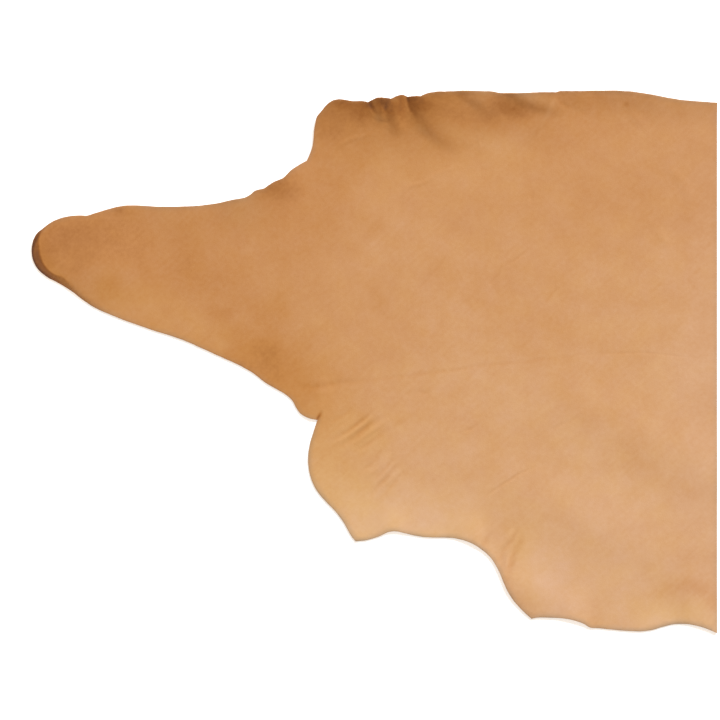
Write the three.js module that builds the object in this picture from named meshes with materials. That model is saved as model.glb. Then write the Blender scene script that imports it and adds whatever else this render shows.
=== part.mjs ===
import * as THREE from "three";
import { ConvexHull } from "three/addons/math/ConvexHull.js";

// A leather shoulder: the front quarter of a vegetable-tanned hide, lying grain side up.
// It is one sheet, cut to an uneven outline. It lies flat, apart from a baggy butt edge that stands
// up in pleats, a shank that curls, with an arched tip and its rim turned down, and some low swells.
// Lengths are millimetres and angles are degrees. Places are measured from the lower left corner
// of the hide's own box: x along the hide from the shank tip, y across it from the neck end.

const THICKNESS = 2.8;

// The outline, counter-clockwise, as the knife goes round it. At each place, heading is the way
// the knife points, and turn is how far it turns there to the left, at a corner.
const EDGE = {
  backCut: [
    { x: 1096, y: 0, heading: -25, turn: 115 },
    { x: 1096, y: 848, heading: 90, turn: 84 },
  ],
  buttCut: [
    { x: 1037, y: 853, heading: 172 },
    { x: 954, y: 866, heading: 176 },
    { x: 845, y: 866, heading: 180, turn: 25 },
    { x: 838, y: 864, heading: 205, turn: -27 },
    { x: 755, y: 862, heading: 178 },
    { x: 731, y: 865, heading: 178 },
    { x: 653, y: 864, heading: 182 },
  ],
  pleatedEdge: [
    { x: 621, y: 856, heading: 210, turn: -38 },
    { x: 600, y: 856, heading: 180, turn: -40 },
    { x: 594, y: 859, heading: 182 },
    { x: 574, y: 853, heading: 204, turn: -36 },
    { x: 552, y: 854, heading: 184 },
    { x: 538, y: 848, heading: 210, turn: -45 },
    { x: 512, y: 850, heading: 179 },
    { x: 490, y: 853, heading: 183 },
  ],
  armpit: [
    { x: 456, y: 826, heading: 230, turn: 30 },
    { x: 451, y: 798, heading: 268 },
    { x: 440, y: 756, heading: 242, turn: -36 },
    { x: 424, y: 747, heading: 207 },
    { x: 394, y: 724, heading: 194 },
    { x: 364, y: 709, heading: 184 },
    { x: 343, y: 697, heading: 200 },
  ],
  shankTop: [
    { x: 317, y: 692, heading: 194 },
    { x: 210, y: 682, heading: 180 },
    { x: 158, y: 684, heading: 181 },
    { x: 90, y: 668, heading: 196, turn: -16 },
    { x: 45, y: 663, heading: 199 },
  ],
  shankTip: [
    { x: 17, y: 646, heading: 221, turn: -12 },
    { x: 0, y: 611, heading: 270 },
    { x: 11, y: 581, heading: 311 },
  ],
  shankFoot: [
    { x: 48, y: 557, heading: 330 },
    { x: 74, y: 539, heading: 321 },
    { x: 115, y: 514, heading: 337 },
    { x: 221, y: 476, heading: 343 },
    { x: 269, y: 457, heading: 335 },
    { x: 346, y: 421, heading: 331 },
    { x: 368, y: 405, heading: 321 },
    { x: 394, y: 389, heading: 331 },
    { x: 418, y: 370, heading: 306 },
    { x: 429, y: 352, heading: 318 },
    { x: 457, y: 341, heading: 353, turn: -101 },
  ],
  cheek: [
    { x: 442, y: 278, heading: 270 },
    { x: 469, y: 212, heading: 315 },
    { x: 505, y: 166, heading: 296 },
    { x: 518, y: 147, heading: 312, turn: 50 },
    { x: 562, y: 158, heading: 27 },
    { x: 579, y: 163, heading: 0 },
    { x: 608, y: 157, heading: -13 },
    { x: 659, y: 153, heading: 0 },
  ],
  neckBay: [
    { x: 717, y: 136, heading: -34 },
    { x: 749, y: 95, heading: -67 },
    { x: 767, y: 57, heading: -55 },
    { x: 799, y: 23, heading: -42, turn: 60 },
  ],
  neckEnd: [
    { x: 819, y: 25, heading: -3 },
    { x: 856, y: 23, heading: -10 },
    { x: 893, y: 9, heading: -35, turn: 31 },
    { x: 974, y: 3, heading: 0 },
    { x: 1037, y: 15, heading: 0 },
  ],
};
const CURVE_REACH = 0.36;

// The folds: each is a ridge along a crest that may bend. Its rise dies away to both ends of the
// crest, and to nothing at reach on either side, or at left on the side that is on the left when
// looking along the crest.
const FOLDS = {
  firstPleat: { from: [564, 816], bend: [558, 836], to: [556, 936], reach: 24, left: 20, rise: 7 },
  secondPleat: { from: [586, 796], bend: [580, 828], to: [590, 900], reach: 15, left: 18, rise: 5 },
  thirdPleat: { from: [692, 784], bend: [592, 806], to: [616, 960], reach: 110, left: 22, rise: 6.5 },
  firstPucker: { from: [746, 834], bend: [704, 850], to: [648, 910], reach: 55, left: 17, rise: 3 },
  secondPucker: { from: [856, 838], bend: [786, 842], to: [706, 906], reach: 60, left: 16, rise: 3.5 },
  puckerRim: { from: [838, 890], bend: [836, 840], to: [790, 780], reach: 12, rise: 1.5 },
  shankTipArch: { from: [-120, 612], bend: [30, 610], to: [190, 590], reach: 100, rise: 9 },
  notchPucker: { from: [430, 310], bend: [462, 350], to: [474, 410], reach: 26, rise: 2 },
  firstNeckLift: { from: [578, 200], bend: [578, 165], to: [578, 126], reach: 36, rise: 2.5 },
  secondNeckLift: { from: [690, 190], bend: [704, 150], to: [716, 100], reach: 36, rise: 2.5 },
  thirdNeckLift: { from: [860, 70], bend: [870, 24], to: [880, -40], reach: 36, rise: 3 },
  baySwell: { from: [700, 130], bend: [770, 70], to: [870, 20], reach: 46, rise: 3 },
  neckSwell: { from: [720, 260], bend: [860, 190], to: [1080, 90], reach: 60, rise: 2.5 },
  backSwell: { from: [800, 400], bend: [960, 330], to: [1200, 200], reach: 64, rise: 2.5 },
  backCornerSwell: { from: [1040, 90], bend: [1066, 40], to: [1110, -30], reach: 44, rise: 2.5 },
};

// The upper edges curl up: on the right of a line along the edge, the sheet sinks from its rise in an
// arc, and lies flat at reach. Its rise dies away to both ends of the line.
const CURLS = {
  shankTop: { from: [-20, 640], bend: [160, 712], to: [420, 690], reach: 90, rise: 5 },
  armpit: { from: [300, 660], bend: [420, 700], to: [450, 840], reach: 50, rise: 4 },
  flankHalf: { from: [430, 812], bend: [620, 886], to: [900, 868], reach: 115, rise: 17 },
  backHalf: { from: [700, 870], bend: [930, 874], to: [1240, 828], reach: 44, rise: 5 },
};

// The rim of the shank's tip and foot is bent down to the table along a line, on the right of it, at a
// slope that dies away to both ends of the line.
const RIM = {
  places: [
    [26, 660], [14, 640], [12, 618], [17, 595], [27, 580],
    [39, 572], [53, 567], [63, 554], [90, 531], [124, 512],
  ],
  slope: 0.65,
};
const BEND_STEPS = 12;
const RIM_STEPS = 32;

// Spacing of the sheet's points: close along the edge and over narrow folds, wide where it is flat.
const EDGE_STEP = 11;
const WIDE_STEP = 32;
const LATTICE_STEP = 3;
const STEP_GROWTH = 0.35;
const FOLD_SHARE = 0.42;
const UNEVENNESS = 0.6;
const UPRIGHT = 0.1;

const LEATHER = { color: 0xd19b69, roughness: 0.62, metalness: 0 };

// Turns places into vectors.
function vectorsOf(places) {
  return places.map(([x, y]) => new THREE.Vector2(x, y));
}

// Turns a row into the polyline of its crest.
function crestOf({ from, bend, to }) {
  return new THREE.QuadraticBezierCurve(...vectorsOf([from, bend, to])).getPoints(BEND_STEPS);
}

const folds = Object.values(FOLDS).map((row) => ({ ...row, crest: crestOf(row) }));
const curls = Object.values(CURLS).map((row) => ({ ...row, crest: crestOf(row) }));
const rimLine = new THREE.SplineCurve(vectorsOf(RIM.places)).getSpacedPoints(RIM_STEPS);

// How far a point is from a polyline, whether it is on the left of it, and how far along it the
// nearest place is, from 0 to 1.
function nearestOn(line, point) {
  const best = { distance: Infinity, onLeft: false, along: 0 };
  for (let i = 0; i + 1 < line.length; i += 1) {
    const span = line[i + 1].clone().sub(line[i]);
    const offset = point.clone().sub(line[i]);
    const share = THREE.MathUtils.clamp(offset.dot(span) / span.lengthSq(), 0, 1);
    const distance = line[i].clone().addScaledVector(span, share).distanceTo(point);
    if (distance < best.distance) {
      best.distance = distance;
      best.onLeft = span.cross(offset) > 0;
      best.along = (i + share) / (line.length - 1);
    }
  }
  return best;
}

// Height of the flesh side above the table: the sum of folds and curls, and nought where it lies flat.
function heightAt(point) {
  let height = 0;
  for (const { crest, reach, left, rise } of folds) {
    const { distance, onLeft, along } = nearestOn(crest, point);
    const across = 1 - distance / (onLeft ? left ?? reach : reach);
    height += rise * THREE.MathUtils.smoothstep(across, 0, 1) * Math.sin(Math.PI * along);
  }
  for (const { crest, reach, rise } of curls) {
    const { distance, onLeft, along } = nearestOn(crest, point);
    const share = Math.max(0, 1 - (onLeft ? -distance : distance) / reach);
    height += rise * share ** 2 * Math.sin(Math.PI * along);
  }
  const rim = nearestOn(rimLine, point);
  if (!rim.onLeft) height -= RIM.slope * rim.distance * Math.sqrt(Math.sin(Math.PI * rim.along));
  return Math.max(0, height);
}

// Spacing that the folds and curls ask for at a point.
function foldStep(point) {
  const steps = [...folds, ...curls].map(({ crest, reach, left }) => {
    const { distance, onLeft } = nearestOn(crest, point);
    const side = onLeft ? left ?? reach : reach;
    return side * FOLD_SHARE + Math.max(0, distance - side) * STEP_GROWTH;
  });
  return Math.min(WIDE_STEP, ...steps);
}

// A step of one unit in a direction given in degrees.
function unitStep(degrees) {
  const angle = THREE.MathUtils.degToRad(degrees);
  return new THREE.Vector2(Math.cos(angle), Math.sin(angle));
}

// The outline as curves from place to place, each with its points as close as the folds ask there.
function edgePoints() {
  const places = Object.values(EDGE).flat();
  return places.flatMap((place, i) => {
    const next = places[(i + 1) % places.length];
    const start = new THREE.Vector2(place.x, place.y);
    const end = new THREE.Vector2(next.x, next.y);
    const lead = start.distanceTo(end) * CURVE_REACH;
    const curve = new THREE.CubicBezierCurve(
      start,
      start.clone().addScaledVector(unitStep(place.heading + (place.turn ?? 0)), lead),
      end.clone().addScaledVector(unitStep(next.heading), -lead),
      end,
    );
    const step = Math.min(EDGE_STEP, foldStep(start), foldStep(curve.getPoint(0.5)), foldStep(end));
    return curve.getSpacedPoints(Math.ceil(curve.getLength() / step)).slice(0, -1);
  });
}

// True where a point lies inside the closed edge.
function isInside(point, edge) {
  let inside = false;
  edge.forEach((a, i) => {
    const b = edge[(i + 1) % edge.length];
    const crosses = a.y > point.y !== b.y > point.y;
    if (crosses && point.x < a.x + ((b.x - a.x) * (point.y - a.y)) / (b.y - a.y)) inside = !inside;
  });
  return inside;
}

// Fills the outline with points, from a fine lattice thinned to the spacing wanted at each place.
// They are set a little unevenly, so that no four lie on one circle.
function fillPoints(edge) {
  const box = new THREE.Box2().setFromPoints(edge);
  const filling = rimLine.filter((p) => isInside(p, edge));
  const rowStep = LATTICE_STEP * Math.sin(Math.PI / 3);
  for (let row = 0; box.min.y + row * rowStep < box.max.y; row += 1) {
    for (let column = 0; box.min.x + column * LATTICE_STEP < box.max.x; column += 1) {
      const point = new THREE.Vector2(
        box.min.x + (column + (row % 2) / 2) * LATTICE_STEP + UNEVENNESS * Math.sin(column * row),
        box.min.y + row * rowStep + UNEVENNESS * Math.cos(column * row),
      );
      if (!isInside(point, edge)) continue;
      const wanted = foldStep(point);
      const edgeGap = Math.min(...edge.map((p) => p.distanceTo(point)));
      const step = Math.min(wanted, EDGE_STEP + edgeGap * STEP_GROWTH);
      const clear = edgeGap > step && filling.every((p) => p.distanceTo(point) > step);
      if (clear) filling.push(point);
    }
  }
  return filling;
}

// Joins points into triangles: lifted onto a bowl, their convex hull's underside is the net of
// triangles in which no triangle's circle holds another point. Upright faces stand on straight edges.
function joinTriangles(points, edge) {
  const bowl = new THREE.Box2().setFromPoints(points).getSize(new THREE.Vector2()).length();
  const lifted = points.map((p) => new THREE.Vector3(p.x, p.y, p.lengthSq() / bowl));
  const index = new Map(lifted.map((p, i) => [p, i]));
  const triangles = [];
  for (const face of new ConvexHull().setFromPoints(lifted).faces) {
    const corners = [0, 1, 2].map((i) => index.get(face.getEdge(i).head().point));
    const middle = new THREE.Vector2();
    corners.forEach((i) => middle.addScaledVector(points[i], 1 / 3));
    if (face.normal.z < -UPRIGHT && isInside(middle, edge)) triangles.push(corners.reverse());
  }
  return triangles;
}

// Closes the sheet: the flesh side on its folds, the grain side a thickness above it, and the cut
// wall between them along each side that only one triangle has.
function sheetGeometry(points, triangles) {
  const flesh = points.map((p) => [p.x, p.y, heightAt(p)]);
  const grain = flesh.map(([x, y, z]) => [x, y, z + THICKNESS]);
  const above = (i) => i + points.length;
  const sides = triangles.flatMap(([a, b, c]) => [[a, b], [b, c], [c, a]]);
  const known = new Set(sides.map(([a, b]) => `${a} ${b}`));
  const rim = sides.filter(([a, b]) => !known.has(`${b} ${a}`));
  const faces = [
    ...triangles.map(([a, b, c]) => [a, c, b]),
    ...triangles.map((corners) => corners.map(above)),
    ...rim.flatMap(([a, b]) => [[a, b, above(b)], [a, above(b), above(a)]]),
  ];
  const geometry = new THREE.BufferGeometry();
  geometry.setAttribute("position", new THREE.Float32BufferAttribute([...flesh, ...grain].flat(), 3));
  geometry.setIndex(faces.flat());
  return geometry;
}

// Moves the sheet so that the origin is on the table, under the middle of the hide's box.
function centreOnTable(geometry) {
  geometry.computeBoundingBox();
  const middle = geometry.boundingBox.getCenter(new THREE.Vector3());
  geometry.translate(-middle.x, -middle.y, -geometry.boundingBox.min.z);
  geometry.computeVertexNormals();
  return geometry;
}

const edge = edgePoints();
const points = [...edge, ...fillPoints(edge)];
const hide = new THREE.Mesh(
  centreOnTable(sheetGeometry(points, joinTriangles(points, edge))),
  new THREE.MeshStandardMaterial(LEATHER),
);
hide.name = "hide";

const shoulder = new THREE.Group();
shoulder.add(hide);

export default shoulder;
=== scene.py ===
# %% [markdown]
# A leather shoulder is the front quarter of a cattle hide, tanned with bark and left undyed. This one
# lies grain side up on a table, as a shop lays it out to show its size. The foreshank points left, the
# edge where the butt was cut away is at the top, the neck is at the bottom, and the straight cut along
# the animal's back is on the right.
#
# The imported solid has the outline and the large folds. This lesson lays a finer sheet on that solid,
# presses creases into it, gives it a thickness, and finishes its three surfaces: the grain side, the
# flesh side and the cut edge.

# %% Load the solid
import math
from collections import namedtuple

import bmesh
import bpy
import numpy as np
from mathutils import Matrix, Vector, noise
from mathutils.bvhtree import BVHTree
from mathutils.geometry import delaunay_2d_cdt
from mathutils.kdtree import KDTree


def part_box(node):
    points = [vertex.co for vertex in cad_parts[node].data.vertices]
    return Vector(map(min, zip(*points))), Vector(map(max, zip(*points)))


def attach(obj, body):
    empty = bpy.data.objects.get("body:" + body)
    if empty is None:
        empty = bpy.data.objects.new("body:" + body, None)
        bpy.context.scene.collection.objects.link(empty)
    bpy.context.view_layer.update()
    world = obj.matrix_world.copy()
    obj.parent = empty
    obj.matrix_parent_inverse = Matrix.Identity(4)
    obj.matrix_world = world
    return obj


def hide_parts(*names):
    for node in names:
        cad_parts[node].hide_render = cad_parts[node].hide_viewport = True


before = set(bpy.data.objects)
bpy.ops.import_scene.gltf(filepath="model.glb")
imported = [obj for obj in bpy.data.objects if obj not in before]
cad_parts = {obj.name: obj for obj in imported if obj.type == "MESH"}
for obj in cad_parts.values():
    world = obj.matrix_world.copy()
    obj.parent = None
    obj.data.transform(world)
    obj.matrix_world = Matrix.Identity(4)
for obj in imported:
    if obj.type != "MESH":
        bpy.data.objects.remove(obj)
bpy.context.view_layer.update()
hide_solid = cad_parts["hide"]

# %% [markdown]
# On a cutting table, places on a hide are measured from one corner. So every place in this lesson is in
# millimetres from the lower left corner of the hide's box: first along the hide from the shank tip, then
# across it from the neck end. Blender works in metres from the frame's origin, and the hide's box in the
# frame leads from one to the other.

# %% Box of the hide
# Lengths are metres, as everywhere in Blender, and this is a millimetre.
MM = 0.001

box_low, box_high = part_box("hide")
print("hide:", [round(side / MM) for side in box_high - box_low], "mm")

# %% [markdown]
# Colours are easiest to choose as the hex values that a screen shows, but shaders add up light, so they
# need linear values: one function turns the first into the second. Another small function adds a shader
# node, with its settings and what is plugged into it. The nodes could also be set out by hand in the
# shader editor, but a short list of such calls shows a whole material at a glance.

# %% Colours and nodes
def linear(hex_colour):
    """The linear colour, with an alpha of 1, of an sRGB hex value. The numbers are sRGB's own."""
    shares = [int(hex_colour[i:i + 2], 16) / 255 for i in (0, 2, 4)]
    return (*[s / 12.92 if s <= 0.04045 else ((s + 0.055) / 1.055) ** 2.4 for s in shares], 1.0)


def add_node(tree, kind, inputs, **settings):
    """Adds a node. Its inputs are constants or another node's output, and settings are its properties."""
    node = tree.nodes.new(kind)
    for name, value in settings.items():
        setattr(node, name, value)
    for name, value in inputs.items():
        if isinstance(value, bpy.types.NodeSocket):
            tree.links.new(value, node.inputs[name])
        else:
            node.inputs[name].default_value = value
    return node


def new_material(name):
    """An empty node material, and its tree."""
    material = bpy.data.materials.new(name)
    material.use_nodes = True
    material.node_tree.nodes.clear()
    return material, material.node_tree


print("the middle grey of a screen gives", round(linear("808080")[0], 2), "of white's light")

# %% [markdown]
# The stage is a light table, as shops use it for pictures of their goods: a white floor that glows a
# little, so that the hide's shadow is no more than a faint rim. A white floor that doesn't glow would need
# far more light from above, and that would wash out the folds. It is much wider than a real table, so that
# in low views its own rim is as far as the horizon.

# %% Floor
FLOOR_SIDE = 400.0
FLOOR = {"colour": "FDFDFC", "glow": 0.45, "roughness": 0.9}

bpy.ops.object.select_all(action="DESELECT")
bpy.ops.mesh.primitive_plane_add(size=FLOOR_SIDE)
floor = bpy.context.object
floor.name = "floor"
# Frosted white acrylic with lamps under it: it scatters light, so it is matt, and has no grain of its own.
frosted_acrylic, tree = new_material("frosted_acrylic")
shader = add_node(
    tree, "ShaderNodeBsdfPrincipled",
    {
        "Base Color": linear(FLOOR["colour"]),
        "Roughness": FLOOR["roughness"],
        "Emission Color": linear(FLOOR["colour"]),
        "Emission Strength": FLOOR["glow"],
    },
)
add_node(tree, "ShaderNodeOutputMaterial", {"Surface": shader.outputs["BSDF"]})
floor.data.materials.append(frosted_acrylic)
print("floor:", FLOOR_SIDE, "m wide")

# %% [markdown]
# Soft light with a direction is what shows the shape of a thin sheet. A large square lamp stands low
# beyond the butt edge, a little to the right, so that every fold has a light side and a dark side. It is
# far away, so it is as bright at the shank as at the back. Its light is a little cool, like a window's,
# and the sky's is warm, like what comes back from the wood of a workshop, so the leather's shadows stay
# brown. A sun lamp would show the folds too, but as it comes its shadows have hard edges.

# %% Lights
KEY = {"at": (10.2, 17.6, 12.8), "side": 9.2, "watts": 8500, "colour": "E6F1FF"}
SKY = {"strength": 0.55, "colour": "FFEEDB"}

bpy.ops.object.light_add(type="AREA", location=KEY["at"])
key_light = bpy.context.object
key_light.name = "key_light"
key_light.data.size = KEY["side"]
key_light.data.energy = KEY["watts"]
key_light.data.color = linear(KEY["colour"])[:3]
key_light.rotation_euler = (-Vector(KEY["at"])).to_track_quat("-Z", "Y").to_euler()
world = bpy.data.worlds.new("sky")
bpy.context.scene.world = world
world.use_nodes = True
sky_shader = world.node_tree.nodes["Background"]
sky_shader.inputs["Color"].default_value = linear(SKY["colour"])
sky_shader.inputs["Strength"].default_value = SKY["strength"]
# This shows colours as they were chosen. The default of new files would dull them.
bpy.context.scene.view_settings.view_transform = "Standard"
print("lights: key", round(Vector(KEY["at"]).length, 2), "m away, and a sky")

# %% [markdown]
# The camera looks straight down from far away with a long lens, because that is how a hide is pictured
# for its outline. The picture is square, 720 pixels wide, and each pixel is 1.6 mm of the table, so its
# distance follows from the lens. An orthographic camera would keep the outline as well, but a long lens
# is what a photographer has.

# %% Camera
PIXEL = 1.6 * MM
PICTURE_SIDE = 720
# The place on the hide that is in the middle of the picture.
PICTURE_MIDDLE = (525, 437)
# A camera has its focal length and its sensor's width in millimetres.
LENS = 135
SENSOR = 36

camera_data = bpy.data.cameras.new("camera")
camera_data.lens = LENS
camera_data.sensor_width = SENSOR
camera = bpy.data.objects.new("camera", camera_data)
camera.location = (
    box_low.x + PICTURE_MIDDLE[0] * MM,
    box_low.y + PICTURE_MIDDLE[1] * MM,
    PICTURE_SIDE * PIXEL * LENS / SENSOR,
)
bpy.context.scene.collection.objects.link(camera)
bpy.context.scene.camera = camera
print("camera:", [round(c, 3) for c in camera.location])

# %% [markdown]
# The hide's outline is where the solid's upper side meets its cut wall. It could be drawn again as a
# curve, but reading it from the solid keeps the two together. The solid comes as loose triangles, so a
# copy of it is merged first. Each edge with a face that looks up on one side only is then a step of the
# outline, and every step leads to the next.

# %% Outline of the solid
MERGE = 0.01 * MM
# A face looks up where its normal rises more than this.
UPWARD = 0.5


def grain_outline(node):
    """Points round the upper side of a node, counter-clockwise, in metres."""
    solid = bmesh.new()
    solid.from_mesh(node.data)
    bmesh.ops.remove_doubles(solid, verts=solid.verts, dist=MERGE)
    solid.normal_update()
    following = {}
    for face in solid.faces:
        for loop in face.loops:
            beyond = loop.link_loop_radial_next.face
            if face.normal.z > UPWARD > beyond.normal.z:
                following[loop.vert] = loop.link_loop_next.vert
    path = [min(following, key=lambda vertex: vertex.co.x)]
    while following[path[-1]] is not path[0]:
        path.append(following[path[-1]])
    points = np.array([vertex.co[:2] for vertex in path])
    solid.free()
    return points


solid_outline = grain_outline(hide_solid)
print("outline of the solid:", len(solid_outline), "points")

# %% [markdown]
# That outline has a point about every 11 mm, or closer on folds, with straight steps between. A knife
# moves in curves, so each step becomes a cubic curve. It leaves its start and reaches its end along the
# middle of the two directions that meet there, but where they turn sharply it keeps them, so that corners
# stay corners. A Subdivision Surface modifier would round the outline too, but its corners with it.

# %% Rounded outline
# A sharper turn than this is a corner.
CORNER_TURN = math.radians(28)
EDGE_STEP = 2.4 * MM


def smooth_span(start, leaving, end, arriving, steps):
    """Points on a cubic curve that leaves its start and reaches its end at given speeds, without its end."""
    t = np.arange(steps)[:, None] / steps
    return (
        (2 * t ** 3 - 3 * t ** 2 + 1) * start
        + (t ** 3 - 2 * t ** 2 + t) * leaving
        + (3 * t ** 2 - 2 * t ** 3) * end
        + (t ** 3 - t ** 2) * arriving
    )


def rounded(points):
    """The same loop as smooth curves in short steps, with its sharp corners kept."""
    ahead = np.roll(points, -1, axis=0) - points
    length = np.linalg.norm(ahead, axis=1)
    leaving = ahead / length[:, None]
    arriving = np.roll(leaving, 1, axis=0)
    middle = leaving + arriving
    middle /= np.linalg.norm(middle, axis=1)[:, None]
    smooth = (leaving * arriving).sum(axis=1) > math.cos(CORNER_TURN)
    leaving[smooth] = middle[smooth]
    arriving[smooth] = middle[smooth]
    spans = []
    for i, start in enumerate(points):
        j = (i + 1) % len(points)
        steps = max(1, round(length[i] / EDGE_STEP))
        spans.append(smooth_span(start, length[i] * leaving[i], points[j], length[i] * arriving[j], steps))
    return np.vstack(spans)


rounded_outline = rounded(solid_outline)
print("rounded outline:", len(rounded_outline), "points")

# %% [markdown]
# A hide is trimmed by hand, and the knife wobbles by less than half a millimetre. Nobody sees that as
# such, but without it the edge looks stamped. Noise moves the outline's points to and fro, across the
# edge. Moving them at random would be simpler still, but it gives teeth and not a sway. The cut along
# the back was ruled, so it stays straight.

# %% Cut by hand
KNIFE_WOBBLE = 0.4 * MM
KNIFE_WAVE = 13 * MM
BACK_CUT_BAND = 2 * MM


def cut_by_hand(points):
    """The loop with a knife's small wobble, but for the straight cut along the back."""
    along = np.roll(points, -1, axis=0) - np.roll(points, 1, axis=0)
    along /= np.linalg.norm(along, axis=1)[:, None]
    sway = np.array([noise.noise(Vector((x, y, 0)) / KNIFE_WAVE) for x, y in points])
    sway[points[:, 0] > box_high.x - BACK_CUT_BAND] = 0
    return points + KNIFE_WOBBLE * sway[:, None] * np.column_stack((along[:, 1], -along[:, 0]))


outline = cut_by_hand(rounded_outline)
wobbles = np.linalg.norm(outline - rounded_outline, axis=1)
print("knife's wobble: up to", round(wobbles.max() / MM, 2), "mm")

# %% [markdown]
# The creases are the marks of the animal's own movement, and of the way the hide dried: fine ripples on
# the cheek, a long line across the shoulder, short slanting lines where the skin wrinkled, sharp pleats at
# the baggy butt edge. Each is a soft trough or ridge along a curve through a few places. Bump mapping
# would be simpler, but it has no outline and vanishes at a slant, so they are pressed into the sheet.
#
# A stroke has the places it passes, how far it reaches to each side, and its amount in the middle, here a
# height in millimetres. Where its two sides differ, left is its reach on the left, looking along it. It
# dies away to its ends.

# %% Creases
Stroke = namedtuple("Stroke", "places reach amount left", defaults=[None])
CREASES = {
    "cheek ripples": [
        Stroke([(478, 338), (500, 350), (520, 364)], 7, -0.25),
        Stroke([(480, 319), (500, 330), (518, 345)], 6, 0.3),
        Stroke([(478, 306), (506, 323), (528, 340), (546, 356)], 6, -0.8),
        Stroke([(486, 302), (512, 320), (528, 332), (544, 348)], 6, 0.7),
        Stroke([(494, 298), (520, 316), (541, 334), (564, 349)], 7, -0.7),
        Stroke([(516, 301), (545, 324), (572, 344)], 6, 0.6),
        Stroke([(520, 291), (546, 308), (575, 332)], 7, -0.45),
        Stroke([(524, 255), (545, 273), (563, 296)], 6, -0.45),
        Stroke([(532, 247), (556, 267), (574, 290)], 6, 0.5),
        Stroke([(546, 243), (566, 264), (582, 287)], 6, -0.45),
        Stroke([(548, 235), (566, 256), (582, 275)], 5, 0.45),
        Stroke([(538, 215), (557, 236), (570, 252), (588, 272)], 6, -0.7),
        Stroke([(556, 224), (574, 245), (590, 264)], 5, 0.45),
        Stroke([(560, 213), (580, 240), (596, 261)], 5, -0.5),
    ],
    "shoulder line": [
        Stroke([(415, 392), (470, 396), (530, 402)], 10, -0.4),
        Stroke([(440, 394), (540, 405), (650, 418), (740, 430), (800, 436), (890, 445)], 5, -0.1),
        Stroke([(840, 443), (973, 448), (1080, 437)], 4, -0.12),
        Stroke([(596, 381), (616, 384), (640, 383)], 8, -0.4),
    ],
    "neck wrinkles": [
        Stroke([(722, 216), (742, 231), (775, 251), (812, 269)], 4, -0.4),
        Stroke([(797, 306), (845, 333), (885, 350)], 5, -0.2),
        Stroke([(690, 322), (702, 326), (716, 336)], 5, -0.25),
    ],
    "middle wrinkles": [
        Stroke([(616, 547), (642, 577), (666, 606)], 4, -0.4),
        Stroke([(732, 556), (744, 572), (752, 585)], 5, -0.4),
        Stroke([(760, 586), (778, 600), (794, 617)], 4, -0.4),
        Stroke([(814, 520), (830, 538), (842, 556)], 4, -0.35),
        Stroke([(854, 482), (864, 496), (872, 510)], 4, -0.3),
        Stroke([(589, 501), (602, 514), (612, 530)], 4, -0.2),
        Stroke([(798, 686), (800, 698), (804, 710)], 5, -0.3),
    ],
    "neck bay ripples": [
        Stroke([(702, 134), (712, 158), (720, 178)], 9, 0.6),
        Stroke([(716, 128), (725, 145), (738, 164)], 8, -0.6),
        Stroke([(736, 116), (754, 144), (770, 167)], 7, 0.7),
        Stroke([(742, 108), (756, 133), (777, 167)], 6, -0.7),
        Stroke([(750, 94), (764, 130), (780, 160)], 7, 0.6),
        Stroke([(753, 72), (764, 105), (773, 130), (788, 162)], 9, -0.7),
    ],
    "butt pleats": [
        Stroke([(552, 824), (541, 846), (536, 872)], 5, -0.9),
        Stroke([(566, 822), (566, 840), (575, 870)], 5, -0.4),
        Stroke([(608, 830), (602, 846), (599, 876)], 5, -1.2),
        Stroke([(803, 796), (818, 820), (828, 842), (836, 868)], 8, 0.6),
        Stroke([(840, 862), (852, 844), (872, 838)], 7, -0.3),
        Stroke([(717, 768), (716, 784), (714, 800)], 4, 0.3),
    ],
    "flank and butt arcs": [
        Stroke([(597, 664), (598, 709), (629, 722), (653, 736), (690, 748)], 6, 0.3),
        Stroke([(455, 752), (509, 789), (570, 803)], 6, 0.3),
        Stroke([(955, 848), (966, 824), (984, 810)], 12, 0.25),
        Stroke([(1008, 756), (1040, 722), (1058, 676)], 12, 0.25),
        Stroke([(986, 666), (1008, 635), (1023, 600)], 12, 0.25),
    ],
    "lip of the shank tip": [
        Stroke([(40, 672), (18, 646), (11, 624), (13, 602), (22, 585), (36, 573), (56, 566)], 4, 0.25),
    ],
    "notch": [Stroke([(464, 357), (458, 343), (451, 327)], 5, -1.0)],
}


def all_strokes(table):
    """The strokes of all the parts in a table, as one list."""
    return [stroke for strokes in table.values() for stroke in strokes]


creases = all_strokes(CREASES)
print("creases:", len(creases))

# %% [markdown]
# A stroke has few places, so a smooth curve is drawn through them first. Each point of the sheet then
# needs three things: its distance from that curve, how far along the curve it lies, and on which side.
# Creases could also be pushed in with a sculpting brush, but strokes that are written down can be changed
# one by one, and the same kind of stroke will paint the leather's tones later.

# %% Beside a stroke
# Steps from one place of a stroke to the next.
STROKE_STEPS = 6


def curve_through(places):
    """A smooth line through places, as many short steps."""
    known = np.array(places, float)
    speeds = np.gradient(known, axis=0)
    spans = [
        smooth_span(known[i], speeds[i], known[i + 1], speeds[i + 1], STROKE_STEPS)
        for i in range(len(known) - 1)
    ]
    return np.vstack([*spans, known[-1:]])


def beside_line(places, line):
    """For each place: its distance from a line, its share of the way along it, and if it is on the left."""
    nearest = np.full(len(places), np.inf)
    share = np.zeros(len(places))
    left = np.zeros(len(places), bool)
    for i, (start, end) in enumerate(zip(line[:-1], line[1:])):
        span = end - start
        offset = places - start
        step = np.clip(offset @ span / (span @ span), 0, 1)
        distance = np.linalg.norm(offset - step[:, None] * span, axis=1)
        nearer = distance < nearest
        nearest[nearer] = distance[nearer]
        share[nearer] = (i + step[nearer]) / (len(line) - 1)
        left[nearer] = (span[0] * offset[:, 1] > span[1] * offset[:, 0])[nearer]
    return nearest, share, left


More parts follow.
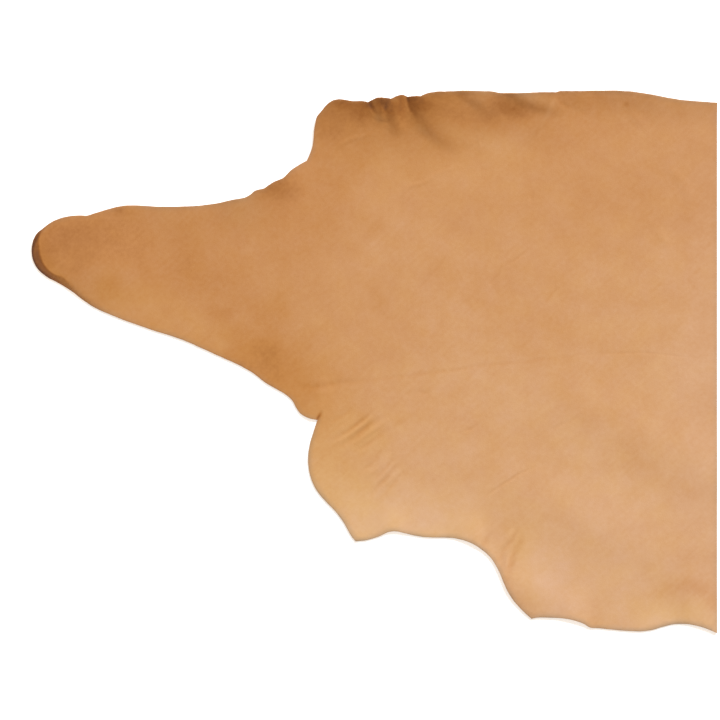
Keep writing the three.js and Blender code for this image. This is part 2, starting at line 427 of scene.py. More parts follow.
lines = [curve_through(stroke.places) for stroke in creases]
lengths = [np.linalg.norm(np.diff(line, axis=0), axis=1).sum() for line in lines]
print("creases:", round(min(lengths)), "to", round(max(lengths)), "mm long")

# %% [markdown]
# Where strokes cross, their amounts add up. Across a stroke its amount sinks in a soft step, from all of
# it on the line to nothing at its reach, and along it as half a wave, so it has no hard ends. The sheet
# will have many points, and a stroke touches few of them, so only those in its box are measured.

# %% Sum of strokes
def near_stroke(places, stroke, margin):
    """The places within a margin of a stroke's box, and how they lie beside it."""
    line = curve_through(stroke.places)
    room = max(stroke.reach, stroke.left or 0) + margin
    low = line.min(axis=0) - room
    high = line.max(axis=0) + room
    near = np.flatnonzero(((places > low) & (places < high)).all(axis=1))
    return near, *beside_line(places[near], line)


def sum_of_strokes(places, strokes):
    """The amounts of all strokes at each place, added up."""
    total = np.zeros(len(places))
    for stroke in strokes:
        near, distance, share, left = near_stroke(places, stroke, 0)
        reach = np.where(left, stroke.left or stroke.reach, stroke.reach)
        across = np.clip(1 - distance / reach, 0, 1)
        total[near] += stroke.amount * across ** 2 * (3 - 2 * across) * np.sin(math.pi * share)
    return total


middles = np.array([stroke.places[len(stroke.places) // 2] for stroke in creases], float)
lifts = sum_of_strokes(middles, creases)
print("at their middles, creases lift the sheet by", round(lifts.min(), 2), "to", round(lifts.max(), 2), "mm")

# %% [markdown]
# The new sheet asks the solid two things at every place: how high its grain side is there, and how wide
# its triangles are, because they are narrow where a fold is narrow. Seen from above, the grain side is a
# flat map, and a search tree finds the triangle at a point. A ray cast down on the solid would find it
# too, but not for the points that the knife's wobble leaves a hair outside the solid.

# %% Map of the grain side
grain_triangles = [polygon for polygon in hide_solid.data.polygons if polygon.normal.z > UPWARD]
grain_map = BVHTree.FromPolygons(
    [(*vertex.co.xy, 0) for vertex in hide_solid.data.vertices],
    [polygon.vertices for polygon in grain_triangles],
)


def grain_at(point):
    """The solid's grain side nearest to a point on the map: its height, its triangle's width, and how far."""
    spot, _, i, distance = grain_map.find_nearest((*point, 0))
    triangle = grain_triangles[i]
    rise = triangle.normal.xy.dot(triangle.center.xy - spot.xy) / triangle.normal.z
    return triangle.center.z + rise, math.sqrt(2 * triangle.area), distance


print("map of the grain side:", len(grain_triangles), "triangles")

# %% [markdown]
# A sheet this large can't be fine all over: as fine as its creases ask, it would have over a million
# triangles. Its points lie close together only along the cut edge, on narrow folds and along creases,
# and from there the spacing grows with the distance. A Remesh modifier gives one spacing everywhere, so
# the spacing is worked out here.

# %% Spacing
LATTICE_STEP = 6.0 * MM
# Spacing on a crease, as a share of its reach, and the share of the distance beyond it that is added.
CREASE_SHARE = 0.3
STEP_GROWTH = 0.37

edge_tree = KDTree(len(outline))
for i, point in enumerate(outline):
    edge_tree.insert((*point, 0), i)
edge_tree.balance()


def from_edge(point):
    """How far a point on the map is from the outline's nearest point."""
    return edge_tree.find((*point[:2], 0))[2]


def places_of(points):
    """Places in millimetres from the hide's lower left corner, for points in metres."""
    return (np.asarray(points, float)[:, :2] - np.array(box_low[:2])) / MM


def crease_step(points):
    """The spacing, in metres, that the creases ask for at each point."""
    places = places_of(points)
    wanted = np.full(len(points), LATTICE_STEP / MM)
    for stroke in creases:
        near, distance, *_ = near_stroke(places, stroke, stroke.reach)
        step = CREASE_SHARE * stroke.reach + STEP_GROWTH * np.maximum(0, distance - stroke.reach)
        wanted[near] = np.minimum(wanted[near], step)
    return wanted * MM


edge_steps = crease_step(outline) / MM
print("spacing for creases, at the edge:", round(edge_steps.min(), 1), "to", round(edge_steps.max(), 1), "mm")

# %% [markdown]
# The points come from three triangular lattices, each twice as fine as the one before and holding all of
# its points. The widest fills the hide. The next is used along the cut edge, on narrow folds and along
# creases, and the finest along creases alone. A grid of squares with its edge cut off would be quicker to
# make, but the edge would be a staircase.

# %% Fill the outline
LATTICES = 3
# A finer lattice is used where the wanted spacing is below this share of the wider one's step.
FINER_BELOW = 0.75
# Spacing on a fold, as a share of the width of the solid's triangle there.
FOLD_SHARE = 0.45
# Room between the edge and the nearest points, as a share of the shorter one of their steps.
EDGE_ROOM = 0.55
# Any length below this is nought.
TOLERANCE = 1e-7


def lattice(level):
    """Points of a triangular lattice over the hide's box, without those of the next wider lattice."""
    step = LATTICE_STEP / 2 ** level
    row_step = step * math.sin(math.pi / 3)
    size = box_high - box_low
    column, row = np.meshgrid(np.arange(size.x // step + 1), np.arange(size.y // row_step + 1))
    # The wider lattice already has every other point of every other row.
    new = (row % 2 == 1) | ((column - row // 2) % 2 == 1) | (level == 0)
    x = box_low.x + (column + (row % 2) / 2) * step
    y = box_low.y + row * row_step
    return np.column_stack((x[new], y[new]))


def fill():
    """Points inside the outline, close together only where the shape asks for it."""
    filling = []
    for level in range(LATTICES):
        step = LATTICE_STEP / 2 ** level
        # The widest lattice is used everywhere.
        used_below = FINER_BELOW * 2 * step if level > 0 else math.inf
        points = lattice(level)
        for point, crease_wants in zip(points, crease_step(points)):
            # The finest lattice is for creases alone.
            if level == LATTICES - 1 and crease_wants > used_below:
                continue
            _, width, distance = grain_at(point)
            edge_gap = from_edge(point)
            is_clear = distance <= TOLERANCE and edge_gap > EDGE_ROOM * min(step, EDGE_STEP)
            wanted = min(crease_wants, FOLD_SHARE * width, EDGE_STEP + STEP_GROWTH * edge_gap)
            if is_clear and wanted < used_below:
                filling.append(point)
    return np.array(filling)


inside = fill()
print("filling:", len(inside), "points")

# %% [markdown]
# Blender can fill a closed edge with faces in edit mode, but only from corner to corner, with no points
# inside. Its triangulation in mathutils takes points and edges together: it joins the points into
# triangles that are as even as can be, and keeps every step of the outline.

# %% Join the points
# The triangulation's own number for leaving out what lies outside the ring.
INSIDE_ONLY = 1

corners = [Vector(point) for point in np.vstack((outline, inside))]
ring = [(i, (i + 1) % len(outline)) for i in range(len(outline))]
flat_points, _, triangles, *_ = delaunay_2d_cdt(corners, ring, [], INSIDE_ONLY, TOLERANCE)
print("sheet:", len(flat_points), "points,", len(triangles), "triangles")

# %% [markdown]
# Now the flat net is laid on the solid: each point goes up to the solid's grain side. A Shrinkwrap
# modifier could do that, but it would also pull points sideways. The solid is made of flat triangles,
# wide where the hide is flat, and a low light would show them, so Smooth modifiers iron the heights:
# lightly all over but for the cut edge, and strongly on the wide triangles alone. They move points up and
# down only, so the outline stays.

# %% Lay the sheet on the solid
# Rounds of ironing all over, and on wide triangles.
IRONING = 6
WIDE_IRONING = 60
# The strong ironing starts at the first width, and has its full strength at the second.
WIDE_TRIANGLE = 14 * MM
WIDEST_TRIANGLE = 26 * MM


def apply_modifier(piece, kind, **settings):
    """Adds a modifier with its settings, and applies it."""
    modifier = piece.modifiers.new(kind.lower(), kind)
    for name, value in settings.items():
        setattr(modifier, name, value)
    bpy.context.view_layer.objects.active = piece
    bpy.ops.object.modifier_apply(modifier=modifier.name)


heights, widths, _ = zip(*[grain_at(point) for point in flat_points])
mesh = bpy.data.meshes.new("leather_hide")
mesh.from_pydata([(*point, height) for point, height in zip(flat_points, heights)], [], triangles)
hide = bpy.data.objects.new("leather_hide", mesh)
bpy.context.scene.collection.objects.link(hide)
hide.vertex_groups.new(name="inside").add(range(len(outline), len(flat_points)), 1, "REPLACE")
wide_group = hide.vertex_groups.new(name="wide")
weights = np.clip((np.array(widths) - WIDE_TRIANGLE) / (WIDEST_TRIANGLE - WIDE_TRIANGLE), 0, 1)
for i, weight in enumerate(weights):
    wide_group.add([i], weight, "REPLACE")
upward = {"use_x": False, "use_y": False, "use_z": True}
for group, ironing in (("inside", IRONING), ("wide", WIDE_IRONING)):
    apply_modifier(hide, "SMOOTH", iterations=ironing, vertex_group=group, **upward)
hide.vertex_groups.clear()
print("laid sheet: up to", round(max(v.co.z for v in mesh.vertices) / MM, 1), "mm high")

# %% [markdown]
# The creases go in next, on the grain side. Straight, even strokes would look drawn, so the places wander
# a little before they are measured against the strokes, and the strokes come and go along their way.
# Broad, low waves keep the rest from being dead flat: leather is a little thinner here and there. A
# Displace modifier with a cloud texture could make the waves, but not the wandering, and one noise does
# both.

# %% Press the creases
# A noise's amount and wave are in millimetres, apart from the share by which a stroke comes and goes. Each
# is read on a level of its own, so that no two are alike.
Noise = namedtuple("Noise", "amount wave level")
WANDER_ALONG = Noise(2.0, 30, 1)
WANDER_ACROSS = Noise(2.0, 30, 2)
BROAD_WAVES = Noise(0.5, 85, 3)
FINE_WAVES = Noise(0.12, 24, 4)
COMING_AND_GOING = Noise(0.9, 26, 5)


def noise_at(places, kind):
    """A noise's value at each place, up to its amount on both sides of nought."""
    spots = [Vector((x / kind.wave, y / kind.wave, kind.level)) for x, y in places]
    return kind.amount * np.array([noise.noise(spot) for spot in spots])


def pressed(places):
    """How far, in millimetres, the creases lift the sheet at each place, or press it down."""
    sway = np.column_stack([noise_at(places, WANDER_ALONG), noise_at(places, WANDER_ACROSS)])
    return (1 + noise_at(places, COMING_AND_GOING)) * sum_of_strokes(places + sway, creases)


grain_points = np.array([vertex.co for vertex in mesh.vertices])
grain_places = places_of(grain_points)
grain_points[:, 2] += MM * pressed(grain_places)
for waves in (BROAD_WAVES, FINE_WAVES):
    grain_points[:, 2] -= MM * (noise_at(grain_places, waves) + waves.amount) / 2
mesh.vertices.foreach_set("co", grain_points.ravel())
mesh.update()

# %% [markdown]
# Solidify gives the sheet its thickness, downwards from the grain side. Extruding the faces would do that
# too, but it thins the sheet on slopes. The thickness is the solid's own: where that lies flat, its grain
# side is so far above the table. Bevel takes the sharpness off the cut. The flesh side lies on the table,
# so no point of it is let below.

# %% Thickness
ARRIS = 0.5 * MM
ARRIS_SEGMENTS = 2
ARRIS_ANGLE = math.radians(50)

thickness = min(triangle.center.z for triangle in grain_triangles) - box_low.z
apply_modifier(hide, "SOLIDIFY", thickness=thickness, offset=-1, use_even_offset=True)
apply_modifier(
    hide, "BEVEL", width=ARRIS, segments=ARRIS_SEGMENTS, limit_method="ANGLE", angle_limit=ARRIS_ANGLE,
)
points = np.array([vertex.co for vertex in mesh.vertices])
points[:, 2] = np.maximum(0, points[:, 2])
mesh.vertices.foreach_set("co", points.ravel())
mesh.update()
bpy.ops.object.select_all(action="DESELECT")
hide.select_set(True)
bpy.ops.object.shade_smooth_by_angle(angle=ARRIS_ANGLE)
print("hide:", round(thickness / MM, 2), "mm thick,", len(mesh.polygons), "faces")

# %% [markdown]
# Bark tanning gives leather no even colour: the loose shank and flank take more of it, and the tight neck
# and back stay pale. Those differences belong to places on the hide, so they are strokes too, wide ones.
# They could be painted by hand in texture paint mode, but that needs an image. A stroke's amount is now a
# change of tone: 1 is the palest leather, and 0 the darkest.

# %% Tones of the parts
PART_TONES = {
    "shank and flank": [
        Stroke([(-200, 610), (100, 600), (300, 560), (520, 520)], 260, -0.2),
        Stroke([(-60, 610), (10, 620), (70, 640), (180, 680)], 80, -0.17),
        Stroke([(250, 470), (390, 420), (490, 330)], 90, -0.17),
        Stroke([(360, 730), (390, 715), (440, 720)], 50, -0.2),
        Stroke([(350, 690), (440, 700), (560, 760)], 130, -0.13),
        Stroke([(420, 800), (500, 840), (580, 850)], 60, -0.14),
        Stroke([(60, 560), (150, 530), (270, 490), (380, 460)], 80, 0.11),
    ],
    "butt": [
        Stroke([(300, 840), (560, 850), (760, 868), (1240, 880)], 160, -0.26),
        # This stroke only darkens the upper right, towards the butt edge. The next three are painted light
        # round the bulge just inside the butt edge: painted shade along its lower side, and painted
        # highlights at the edge and below it.
        Stroke([(760, 720), (1000, 700), (1300, 740)], 130, -0.1),
        Stroke([(640, 840), (720, 826), (820, 838)], 30, -0.06),
        Stroke([(690, 872), (728, 868), (766, 876)], 24, 0.12),
        Stroke([(670, 800), (740, 782), (810, 794)], 44, 0.13),
    ],
    "back": [
        Stroke([(1130, -200), (1110, 240), (1120, 780)], 380, 0.13),
        Stroke([(560, 450), (720, 420), (880, 380)], 90, 0.1),
    ],
    "cheek and neck": [
        Stroke([(200, 140), (500, 200), (700, 190), (840, 50), (1000, -120)], 260, 0.17),
        Stroke([(380, 240), (540, 150), (760, 130)], 130, 0.24),
        Stroke([(780, 160), (820, 80), (850, -20)], 70, 0.13),
        Stroke([(840, 110), (940, 90), (1040, 60)], 110, 0.08),
        Stroke([(900, 0), (1030, 10), (1160, 0)], 70, 0.17),
        Stroke([(820, 200), (960, 240), (1160, 200)], 130, 0.08),
        Stroke([(690, 340), (780, 350), (880, 340)], 60, 0.06),
        Stroke([(820, 34), (850, 20), (890, 10)], 34, 0.06),
        Stroke([(980, 24), (1040, 18), (1110, 8)], 38, 0.08),
        Stroke([(610, 166), (655, 152), (700, 146)], 32, 0.06),
    ],
}
print("strokes for the tones of the parts:", len(all_strokes(PART_TONES)))

# %% [markdown]
# Folds and old marks have tones of their own. The pleats' valleys are painted darker than their own shade
# makes them, as painted shade, and where the folds shade them too much they are painted paler, as
# painted light, with painted highlights on their crests. The rim of the shank tip, bent down to the table, is
# painted the darkest of all, as painted shade, and the creases of the notch and the shoulder line get painted
# shade too. Scars and worn places are small spots. All of these are colour and not form, so no finer mesh
# would show them.

# %% Painted shade and light of folds, and spots
FOLD_SHADES_AND_SPOTS = {
    "butt pleats": [
        # Painted shade in the pleats' valleys. The strokes with a positive amount are painted light: they
        # pale the folds' own shade and paint highlights on their crests.
        Stroke([(478, 850), (496, 846), (514, 850)], 12, -0.12),
        Stroke([(512, 852), (528, 834), (542, 812)], 26, -0.11),
        Stroke([(546, 862), (547, 838), (554, 812)], 9, 0.07),
        Stroke([(542, 858), (558, 850), (576, 854)], 11, -0.06),
        Stroke([(562, 862), (572, 842), (582, 820)], 14, -0.22),
        Stroke([(588, 872), (591, 846), (594, 814)], 12, -0.2),
        Stroke([(596, 858), (616, 850), (654, 838)], 14, -0.16),
        Stroke([(612, 820), (602, 846), (598, 896)], 22, -0.08, left=4),
        Stroke([(552, 857), (560, 842), (568, 829)], 10, -0.17),
        Stroke([(528, 851), (540, 843), (549, 836)], 9, -0.17),
        Stroke([(574, 850), (583, 842), (592, 832)], 8, -0.1),
        Stroke([(544, 829), (557, 823), (571, 818)], 9, 0.11),
        Stroke([(606, 842), (621, 837), (638, 834)], 7, -0.1),
        Stroke([(606, 813), (622, 806), (638, 797)], 12, 0.09),
        Stroke([(640, 862), (700, 846), (760, 848)], 34, 0.09),
        Stroke([(640, 826), (668, 808), (696, 788)], 22, 0.09),
        Stroke([(726, 862), (762, 838), (808, 826)], 18, -0.13),
        Stroke([(756, 870), (798, 857), (848, 846)], 16, 0.18),
        Stroke([(838, 858), (828, 836), (812, 806)], 8, 0.09),
    ],
    "shank tip": [
        # Painted shade on the rim of the shank tip, bent down to the table, darkest along its outermost edge.
        Stroke(
            [(40, 690), (14, 640), (12, 618), (17, 595), (27, 580), (39, 572), (53, 567), (80, 530)],
            26, -0.18, left=2.5,
        ),
        Stroke([(50, 690), (17, 646), (0, 611), (11, 581), (48, 557), (100, 520)], 6, -0.3),
    ],
    # Painted shade in the notch's crease.
    "notch": [Stroke([(463, 354), (458, 345), (452, 334)], 4, -0.3)],
    # Painted shade along the shoulder line's crease.
    "shoulder line": [
        Stroke([(430, 392), (540, 404), (650, 417), (740, 429), (800, 435), (890, 444)], 6, -0.04),
    ],
    "shank spots": [
        Stroke([(96, 548), (126, 560), (152, 566)], 30, -0.07),
        Stroke([(200, 512), (214, 514), (230, 516)], 20, -0.07),
        Stroke([(276, 512), (300, 510), (330, 512)], 20, -0.1),
        Stroke([(340, 508), (384, 516), (420, 524)], 26, -0.08),
        Stroke([(340, 452), (376, 456), (406, 450)], 30, -0.05),
        Stroke([(130, 684), (142, 674), (156, 680)], 12, -0.1),
        Stroke([(280, 470), (300, 464), (324, 460)], 16, 0.06),
        Stroke([(330, 612), (345, 612), (360, 616)], 14, 0.05),
    ],
    "middle spots": [
        Stroke([(574, 670), (548, 645), (522, 622)], 15, -0.06),
        Stroke([(543, 572), (552, 540), (562, 500)], 20, -0.07),
        Stroke([(735, 584), (744, 556), (753, 530)], 13, -0.05),
        Stroke([(690, 660), (702, 640), (712, 616)], 14, -0.04),
        Stroke([(536, 614), (554, 606), (574, 600)], 18, 0.05),
        Stroke([(600, 548), (690, 506), (790, 486)], 60, 0.06),
        Stroke([(540, 750), (640, 690), (720, 670), (820, 710)], 60, -0.06),
        Stroke([(970, 390), (1050, 420), (1130, 450)], 60, 0.06),
        Stroke([(820, 300), (890, 310), (960, 300)], 60, 0.06),
    ],
    "cheek and neck spots": [
        Stroke([(576, 334), (590, 338), (606, 342)], 9, -0.06),
        Stroke([(900, 320), (973, 269), (1040, 232), (1120, 190)], 40, -0.06),
        Stroke([(1005, 72), (1055, 76), (1110, 56)], 22, -0.1),
        Stroke([(1078, 60), (1088, 46), (1092, 30)], 20, -0.08),
        Stroke([(1054, 70), (1060, 46), (1064, 24)], 16, 0.05),
    ],
    "butt edge spot": [Stroke([(946, 850), (950, 846), (956, 843)], 7, -0.15)],
}
print("strokes for the tones of folds and spots:", len(all_strokes(FOLD_SHADES_AND_SPOTS)))

# %% [markdown]
# All strokes are summed at each of the sheet's points, and the pressed creases count too: their troughs
# are painted darker, as painted shade. The sum is kept in the mesh as an attribute that the material will
# read. A UV map and an image could carry the tones as well, but an attribute is as fine as the sheet.

# %% Paint the tones
# The tone where no stroke reaches, and how much painted shade each millimetre of a crease's depth adds.
MIDDLE_TONE = 0.6
CREASE_SHADE = 0.12

places = places_of(points)


def painted(middle, table):
    """The sum, at each of the sheet's points, of a middle value and the strokes in a table."""
    return middle + sum_of_strokes(places, all_strokes(table))


def keep_attribute(name, values):
    """Keeps a value for each of the sheet's points in the mesh."""
    mesh.attributes.new(name, "FLOAT", "POINT").data.foreach_set("value", values.astype(np.float32))


# The troughs of the pressed creases add painted shade to the tone.
tone = painted(MIDDLE_TONE, {**PART_TONES, **FOLD_SHADES_AND_SPOTS}) + CREASE_SHADE * np.minimum(0, pressed(places))
keep_attribute("tone", tone)
print("tones from", round(tone.min(), 2), "to", round(tone.max(), 2))

# %% [markdown]
# Tallow and fish oil keep the leather supple. They yellow with age, most of all along the edges and in the
# baggy parts, which soaked up more. A yellower ramp of tones could stand for them, but oil doesn't follow
# the tone, so it is a second attribute: 0 is the plain tan and 1 the most oil.

# %% Oil
MIDDLE_OIL = 0.35
OILS = {
    "cheek": [
        Stroke([(380, 500), (450, 390), (466, 270), (520, 180), (640, 60)], 120, 0.7),
        Stroke([(470, 350), (522, 315), (560, 326), (610, 346)], 50, 0.4),
        Stroke([(500, 350), (520, 336), (550, 330)], 40, 0.4),
    ],
    "shank": [
        Stroke([(60, 540), (230, 480), (360, 430), (470, 330)], 70, 0.5),
        # Here the yellow is painted shade: it deepens the hue of the bent rim of the shank tip.
        Stroke([(30, 660), (12, 618), (17, 595), (39, 572), (90, 520)], 20, 0.9),
        Stroke([(90, 548), (180, 534), (270, 520)], 36, 0.4),
        Stroke([(340, 452), (366, 454), (400, 450)], 36, 0.5),
        Stroke([(96, 548), (126, 552), (160, 548)], 34, 0.4),
        Stroke([(340, 512), (384, 520), (420, 528)], 30, 0.4),
    ],
    "butt": [
        # Along the pleats the yellow is partly oil and partly painted shade, which deepens the hue of their
        # shade.
        Stroke([(420, 800), (520, 850), (640, 850), (740, 860)], 60, 0.6),
        Stroke([(440, 740), (620, 770), (860, 740)], 110, 0.4),
    ],
    "back": [Stroke([(1110, -200), (1110, 400), (1110, 950)], 120, -0.6)],
    "neck": [
        Stroke([(820, 160), (850, 80), (860, 0)], 60, -0.35),
        Stroke([(772, 200), (782, 140), (800, 70)], 36, 0.5),
        Stroke([(580, 130), (660, 156), (760, 230)], 44, 0.45),
        Stroke([(950, 40), (1050, 24), (1130, 10)], 50, 0.6),
        Stroke([(870, 220), (940, 165), (1010, 140)], 60, -0.35),
    ],
}

oil = np.clip(painted(MIDDLE_OIL, OILS), 0, 1)
keep_attribute("oil", oil)
print("oil from", round(oil.min(), 2), "to", round(oil.max(), 2))

# %% [markdown]
# Along the cut, the grain is made a little darker and greyer, in a band about as wide as a pencil. The
# Geometry node's Pointiness finds sharp edges by itself, but no wider than a triangle, so the rim is
# measured from the outline and kept as a third attribute: how much of the grey there is. Pale leather
# takes the most of it, and the rim of the back half as much.

# %% Grey rim
RIM_WIDTH = 7.5 * MM
# The share of grey at the cut itself, and how much of it the rim of the back has.
RIM_SHARE = 0.46
BACK_SHARE = 0.5
RIM_UNEVENNESS = Noise(0.5, 30, 6)

edge_gaps = np.array([from_edge(point) for point in points])
rim_strength = RIM_SHARE * (1 + noise_at(places, RIM_UNEVENNESS))
rim = rim_strength * np.clip(1 - edge_gaps / RIM_WIDTH, 0, 1) * np.clip(tone, 0, 1)
rim[points[:, 0] > box_high.x - RIM_WIDTH] *= BACK_SHARE
keep_attribute("rim", rim)
print("rim up to", round(rim.max(), 2))

# %% [markdown]
# The grain side is the hair side of the skin, and the tanner smooths it. Bark and oil soak in unevenly, so
# its colour drifts in clouds as wide as a hand, in mottles as wide as a thumb and in flecks, and along
# faint growth lines that slant across the neck. A photograph of leather would show all that, but it would
# hold its own light and its own seams, so each of these patterns is a noise.

# %% Patterns of the grain side
# Size of each kind of spot, then how much of the tone it changes.
SPOTS = {"cloud": (220 * MM, 0.12), "mottle": (40 * MM, 0.18), "fleck": (6 * MM, 0.16)}
SPOT_DETAIL = 4.0
# Length and width of a growth line. The third size is upright, and so long that it makes no difference.
GROWTH_LINES = (70 * MM, 5 * MM, 1.0)
GROWTH_SLANT = math.radians(42)
GROWTH_SHARE = 0.06

# Vegetable-tanned leather with its hair side up: smoothed, oiled, undyed. Satin, warm and cloudy.
grain_leather, tree = new_material("vegetable_tanned_grain_side")
here = add_node(tree, "ShaderNodeTexCoord", {}).outputs["Object"]
slanted = add_node(
    tree, "ShaderNodeMapping",
    {"Vector": here, "Rotation": (0, 0, GROWTH_SLANT), "Scale": GROWTH_LINES},
    vector_type="TEXTURE",
)
growth = add_node(tree, "ShaderNodeTexNoise", {"Vector": slanted.outputs[0], "Scale": 1.0}).outputs["Fac"]
patterns = [(growth, GROWTH_SHARE)]
for size, share in SPOTS.values():
    spots = add_node(tree, "ShaderNodeTexNoise", {"Vector": here, "Scale": 1 / size, "Detail": SPOT_DETAIL})
    patterns.append((spots.outputs["Fac"], share))
print("patterns of the grain side:", len(patterns))

# %% [markdown]
# The patterns are added to the tone of each place, and a colour ramp turns the sum into leather. The oil
# goes over that as a thin yellow glaze, in patches, and the grey of the rim over both. One colour for each
# part of the hide would be simpler, but the parts run into each other, and on a ramp every tone between
# two others is leather too.

# %% Colour of the grain side
# From the darkest tone to the palest, in even steps.
GRAIN_TONES = ["6A3A10", "9E6124", "B87C43", "C38D5C", "CE9F75", "D7AD8B"]
OIL_YELLOW = "FFFCDC"
# Size of a patch that soaked up more oil or less, and by how much it changes the oil of its place.
OIL_PATCH = 34 * MM
OIL_SHARE = 1.2
RIM_GREY = "736E62"
NOISE_MIDDLE = 0.5


def varied(tree, attribute, patterns):
    """An attribute of the mesh with patterns added to it, each centred on nought first."""
    total = add_node(tree, "ShaderNodeAttribute", {}, attribute_name=attribute).outputs["Fac"]
    for pattern, share in patterns:
        centred = add_node(tree, "ShaderNodeMath", {0: pattern, 1: NOISE_MIDDLE}, operation="SUBTRACT")
        total = add_node(
            tree, "ShaderNodeMath", {0: centred.outputs[0], 1: share, 2: total}, operation="MULTIPLY_ADD",
        ).outputs[0]
    return total


ramp = add_node(tree, "ShaderNodeValToRGB", {"Fac": varied(tree, "tone", patterns)})
# A new ramp has a stop at each end.
stops = ramp.color_ramp.elements
for i in range(1, len(GRAIN_TONES) - 1):
    stops.new(i / (len(GRAIN_TONES) - 1))
for stop, colour in zip(stops, GRAIN_TONES):
    stop.color = linear(colour)
soaked = add_node(tree, "ShaderNodeTexNoise", {"Vector": here, "Scale": 1 / OIL_PATCH, "Detail": SPOT_DETAIL})
glazed = add_node(
    tree, "ShaderNodeMix",
    {
        "Factor": varied(tree, "oil", [(soaked.outputs["Fac"], OIL_SHARE)]),
        "A": ramp.outputs["Color"],
        "B": linear(OIL_YELLOW),
    },
    data_type="RGBA", blend_type="MULTIPLY",
)
greyed_rim = add_node(
    tree, "ShaderNodeMix",
    {"Factor": varied(tree, "rim", []), "A": glazed.outputs["Result"], "B": linear(RIM_GREY)},
    data_type="RGBA",
)
print("tones on the ramp:", len(stops))

# %% [markdown]
# The grain is satin: smoothed and greased, but never varnished. Its roughness follows the growth lines,
# where the skin lies a little looser. Its pores are far too many to press into the sheet, and from a step
# away they only break the shine, so they are a bump.

# %% Satin and pores
# Real pores are 0.2 mm wide. They are drawn coarser, so that they don't flicker.
PORE = 1.3 * MM
PORE_DEPTH = 0.1 * MM
SATIN = {"smoothest": 0.5, "roughest": 0.66}
GREASE_IOR = 1.5

pores = add_node(tree, "ShaderNodeTexVoronoi", {"Vector": here, "Scale": 1 / PORE}, feature="SMOOTH_F1")
bump = add_node(tree, "ShaderNodeBump", {"Height": pores.outputs["Distance"], "Distance": PORE_DEPTH})
satin = add_node(
    tree, "ShaderNodeMapRange",
    {"Value": growth, "To Min": SATIN["smoothest"], "To Max": SATIN["roughest"]},
)
shader = add_node(
    tree, "ShaderNodeBsdfPrincipled",
    {
        "Base Color": greyed_rim.outputs["Result"],
        "Roughness": satin.outputs["Result"],
        "IOR": GREASE_IOR,
        "Normal": bump.outputs["Normal"],
    },
)
add_node(tree, "ShaderNodeOutputMaterial", {"Surface": shader.outputs["BSDF"]})
mesh.materials.append(grain_leather)
print("grain side:", len(tree.nodes), "nodes")

# %% [markdown]
# The flesh side is what was next to the meat. A band knife split it level, and it was never glazed, so it
# is a matt nap of loose fibres, paler and greyer than the grain. Hair particles could be the fibres, but
# they would be millions. Two noises do: one long and thin, for the fibres that lie along the hide, and one
# wide, for patches where the nap was brushed another way.

# %% Flesh side
NAP = {"dark": "A98259", "light": "CDAB83", "brushed": "BB9468"}
# Real fibres are 0.1 mm thick. They are drawn coarser, so that they show at all.
FIBRE = (9 * MM, 1.6 * MM, 1.6 * MM)
FIBRE_DETAIL = 3.0
BRUSHED = 60 * MM
NAP_DEPTH = 0.4 * MM
NAP_ROUGHNESS = 0.95
NAP_SHEEN = 0.25

# Split and unglazed flesh side: a brushed nap of fibres. Matt, soft and a little dusty.
flesh_leather, tree = new_material("split_flesh_side")
here = add_node(tree, "ShaderNodeTexCoord", {}).outputs["Object"]
along = add_node(tree, "ShaderNodeMapping", {"Vector": here, "Scale": FIBRE}, vector_type="TEXTURE")
fibres = add_node(
    tree, "ShaderNodeTexNoise", {"Vector": along.outputs[0], "Scale": 1.0, "Detail": FIBRE_DETAIL},
)
patches = add_node(tree, "ShaderNodeTexNoise", {"Vector": here, "Scale": 1 / BRUSHED})
nap = add_node(
    tree, "ShaderNodeMix",
    {"Factor": fibres.outputs["Fac"], "A": linear(NAP["dark"]), "B": linear(NAP["light"])},
    data_type="RGBA",
)
brushed = add_node(
    tree, "ShaderNodeMix",
    {"Factor": patches.outputs["Fac"], "A": nap.outputs["Result"], "B": linear(NAP["brushed"])},
    data_type="RGBA",
)
bump = add_node(tree, "ShaderNodeBump", {"Height": fibres.outputs["Fac"], "Distance": NAP_DEPTH})
shader = add_node(
    tree, "ShaderNodeBsdfPrincipled",
    {
        "Base Color": brushed.outputs["Result"],
        "Roughness": NAP_ROUGHNESS,
        "Sheen Weight": NAP_SHEEN,
        "Normal": bump.outputs["Normal"],
    },
)
add_node(tree, "ShaderNodeOutputMaterial", {"Surface": shader.outputs["BSDF"]})
mesh.materials.append(flesh_leather)
print("flesh side:", len(tree.nodes), "nodes")

# %% [markdown]
# The cut edge shows the hide in section: fibres in thin layers that run with the surface, dark from the
# tan liquor. A Wave texture draws layers too, but as even as plywood's. Noise squeezed in height is as
# uneven as leather.

# %% Cut edge
SECTION = {"dark": "6E4424", "light": "A07348"}
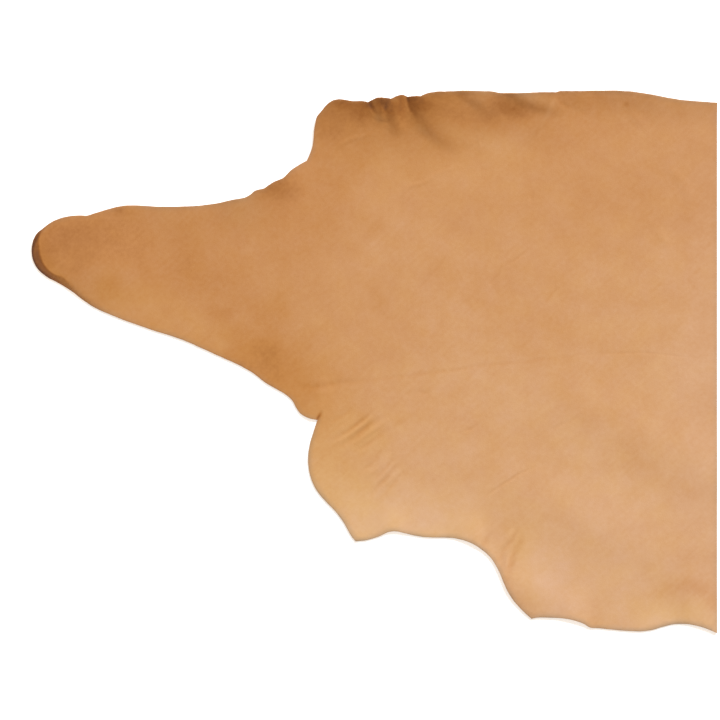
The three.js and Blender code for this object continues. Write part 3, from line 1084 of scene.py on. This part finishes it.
# Real layers are 0.1 mm thick. They are drawn coarser, so that they don't flicker.
LAYER = (5 * MM, 5 * MM, 0.45 * MM)
LAYER_DEPTH = 0.15 * MM
CUT_ROUGHNESS = 0.85

# Raw knife cut through vegetable-tanned leather: layered fibre, unburnished. Dull and darker.
cut_leather, tree = new_material("knife_cut_edge")
here = add_node(tree, "ShaderNodeTexCoord", {}).outputs["Object"]
squeezed = add_node(tree, "ShaderNodeMapping", {"Vector": here, "Scale": LAYER}, vector_type="TEXTURE")
layers = add_node(
    tree, "ShaderNodeTexNoise", {"Vector": squeezed.outputs[0], "Scale": 1.0, "Detail": FIBRE_DETAIL},
)
section = add_node(
    tree, "ShaderNodeMix",
    {"Factor": layers.outputs["Fac"], "A": linear(SECTION["dark"]), "B": linear(SECTION["light"])},
    data_type="RGBA",
)
bump = add_node(tree, "ShaderNodeBump", {"Height": layers.outputs["Fac"], "Distance": LAYER_DEPTH})
shader = add_node(
    tree, "ShaderNodeBsdfPrincipled",
    {"Base Color": section.outputs["Result"], "Roughness": CUT_ROUGHNESS, "Normal": bump.outputs["Normal"]},
)
add_node(tree, "ShaderNodeOutputMaterial", {"Surface": shader.outputs["BSDF"]})
mesh.materials.append(cut_leather)
print("cut edge:", len(tree.nodes), "nodes")

# %% [markdown]
# Which finish a face gets follows from where it looks: up is grain, down is flesh, and the faces between
# are the cut. Solidify could set the finish of the faces it makes, but those that Bevel makes after it
# would then take the finish of either side.

# %% Finish each face
# A face is part of the cut where its normal rises or sinks by no more than this.
SIDE_FACING = 0.35

finishes = list(mesh.materials)
facing = np.array([polygon.normal.z for polygon in mesh.polygons])
finish = np.full(len(facing), finishes.index(cut_leather), np.int32)
finish[facing > SIDE_FACING] = finishes.index(grain_leather)
finish[facing < -SIDE_FACING] = finishes.index(flesh_leather)
mesh.polygons.foreach_set("material_index", finish)
mesh.update()
for material, count in zip(finishes, np.bincount(finish)):
    print(material.name, "is on", count, "faces")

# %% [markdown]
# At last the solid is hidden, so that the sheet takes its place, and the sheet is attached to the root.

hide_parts("hide")
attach(hide, "root")
